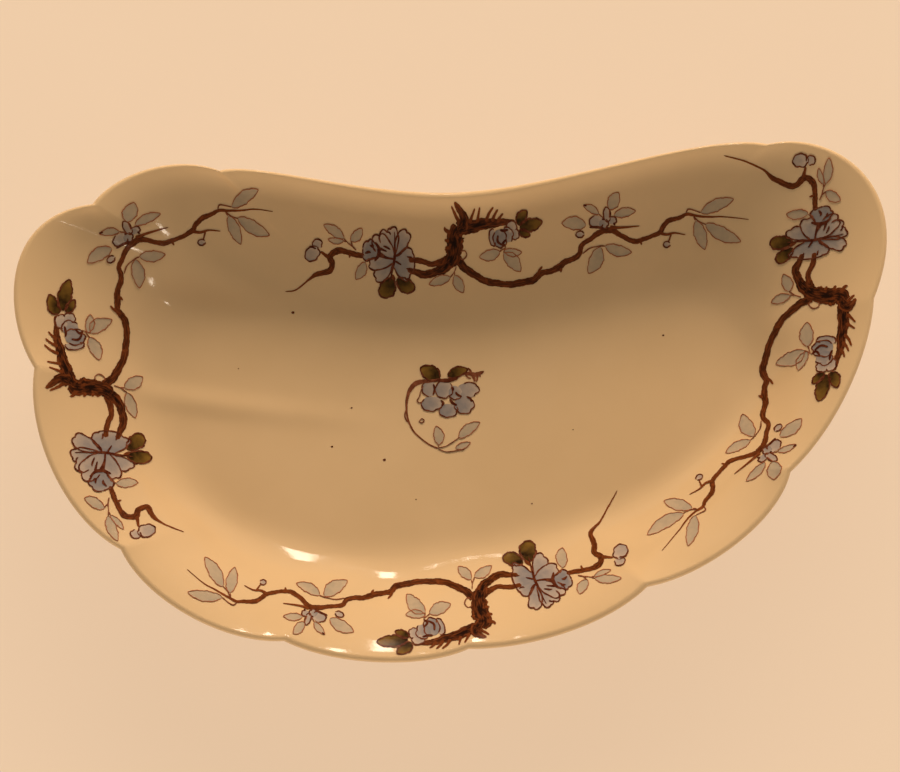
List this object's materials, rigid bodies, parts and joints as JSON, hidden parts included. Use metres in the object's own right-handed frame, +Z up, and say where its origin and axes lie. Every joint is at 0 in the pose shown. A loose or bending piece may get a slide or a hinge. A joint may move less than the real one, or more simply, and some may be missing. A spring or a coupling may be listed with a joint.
{
  "type": "bone dish",
  "caption": "Crescent side dish of glazed porcelain with a scalloped, flared rim and printed flowering sprays, set beside a dinner plate to hold bones or a small side serving.",
  "frame": {"origin": "on the table, under the middle of the dish's outline", "axes": "+X along the dish's length, +Y towards its hollow side and +Z up"},
  "size_m": [0.159, 0.095, 0.0191],
  "materials": {
    "glaze": "clear gloss glaze over ivory porcelain",
    "bare_foot": "unglazed, ground flat",
    "print_branch": "fired brown print under gloss",
    "print_leaf": "fired grey print under gloss",
    "print_dark_leaf": "fired olive print under gloss",
    "print_blossom": "fired blue print under gloss"
  },
  "bodies": {
    "root": {"dish_body": "glaze", "foot_ring": "bare_foot", "back_branch": "print_branch", "back_leaves": "print_leaf", "back_dark_leaves": "print_dark_leaf", "back_blossoms": "print_blossom", "right_branch": "print_branch", "right_leaves": "print_leaf", "right_dark_leaves": "print_dark_leaf", "right_blossoms": "print_blossom", "front_branch": "print_branch", "front_leaves": "print_leaf", "front_dark_leaves": "print_dark_leaf", "front_blossoms": "print_blossom", "left_branch": "print_branch", "left_leaves": "print_leaf", "left_dark_leaves": "print_dark_leaf", "left_blossoms": "print_blossom", "centre_stem": "print_branch", "centre_leaves": "print_leaf", "centre_dark_leaves": "print_dark_leaf", "centre_blossom": "print_blossom"}
  },
  "joints": []
}
